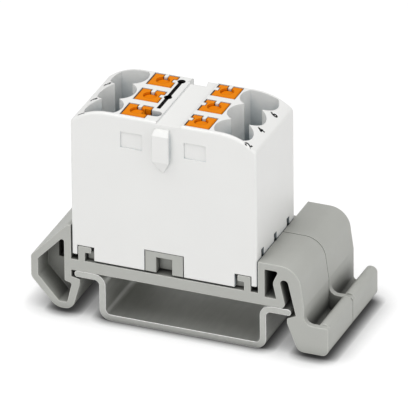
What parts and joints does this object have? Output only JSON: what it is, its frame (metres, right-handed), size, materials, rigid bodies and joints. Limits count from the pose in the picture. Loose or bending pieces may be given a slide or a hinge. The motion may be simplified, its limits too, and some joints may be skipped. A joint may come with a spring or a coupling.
{
  "type": "power distribution block",
  "caption": "White push-in power distribution block with orange release buttons and arched top, held by two grey adapters on a short length of top-hat mounting rail.",
  "frame": {"origin": "middle of the mounting rail's underside, halfway along its length", "axes": "+X across the rail, from the fixed foot towards the lever foot; +Y along the rail, from the side with the rib to the back; +Z away from the wall, towards the buttons"},
  "size_m": [0.0481, 0.0218, 0.0353],
  "materials": {
    "rail_steel": "dull zinc-plated sheet",
    "adapter_plastic": "fine matt",
    "housing_plastic": "fine matt",
    "cover_plastic": "fine matt",
    "copper": "tinned copper, stands in as brass",
    "spring_steel": "bright spring steel",
    "button_plastic": "fine matt"
  },
  "bodies": {
    "block": {"mounting_rail": "rail_steel", "rail_adapter_front": "adapter_plastic", "rail_adapter_rear": "adapter_plastic", "housing": "housing_plastic", "base_cover": "cover_plastic", "current_bar": "copper", "clamp_spring_1": "spring_steel", "clamp_spring_2": "spring_steel", "clamp_spring_3": "spring_steel", "clamp_spring_4": "spring_steel", "clamp_spring_5": "spring_steel", "clamp_spring_6": "spring_steel"},
    "button_1": {"button_1": "button_plastic"},
    "button_2": {"button_2": "button_plastic"},
    "button_3": {"button_3": "button_plastic"},
    "button_4": {"button_4": "button_plastic"},
    "button_5": {"button_5": "button_plastic"},
    "button_6": {"button_6": "button_plastic"}
  },
  "joints": [
    {"name": "button_1_press", "type": "slide", "parent": "block", "child": "button_1", "axis": [0, 0, -1], "range_m": [0, 0.0016], "stiffness_N_per_m": 2000, "springref_m": -0.0005, "deforming": ["clamp_spring_1"]},
    {"name": "button_2_press", "type": "slide", "parent": "block", "child": "button_2", "axis": [0, 0, -1], "range_m": [0, 0.0016], "stiffness_N_per_m": 2000, "springref_m": -0.0005, "deforming": ["clamp_spring_2"]},
    {"name": "button_3_press", "type": "slide", "parent": "block", "child": "button_3", "axis": [0, 0, -1], "range_m": [0, 0.0016], "stiffness_N_per_m": 2000, "springref_m": -0.0005, "deforming": ["clamp_spring_3"]},
    {"name": "button_4_press", "type": "slide", "parent": "block", "child": "button_4", "axis": [0, 0, -1], "range_m": [0, 0.0016], "stiffness_N_per_m": 2000, "springref_m": -0.0005, "deforming": ["clamp_spring_4"]},
    {"name": "button_5_press", "type": "slide", "parent": "block", "child": "button_5", "axis": [0, 0, -1], "range_m": [0, 0.0016], "stiffness_N_per_m": 2000, "springref_m": -0.0005, "deforming": ["clamp_spring_5"]},
    {"name": "button_6_press", "type": "slide", "parent": "block", "child": "button_6", "axis": [0, 0, -1], "range_m": [0, 0.0016], "stiffness_N_per_m": 2000, "springref_m": -0.0005, "deforming": ["clamp_spring_6"]}
  ]
}
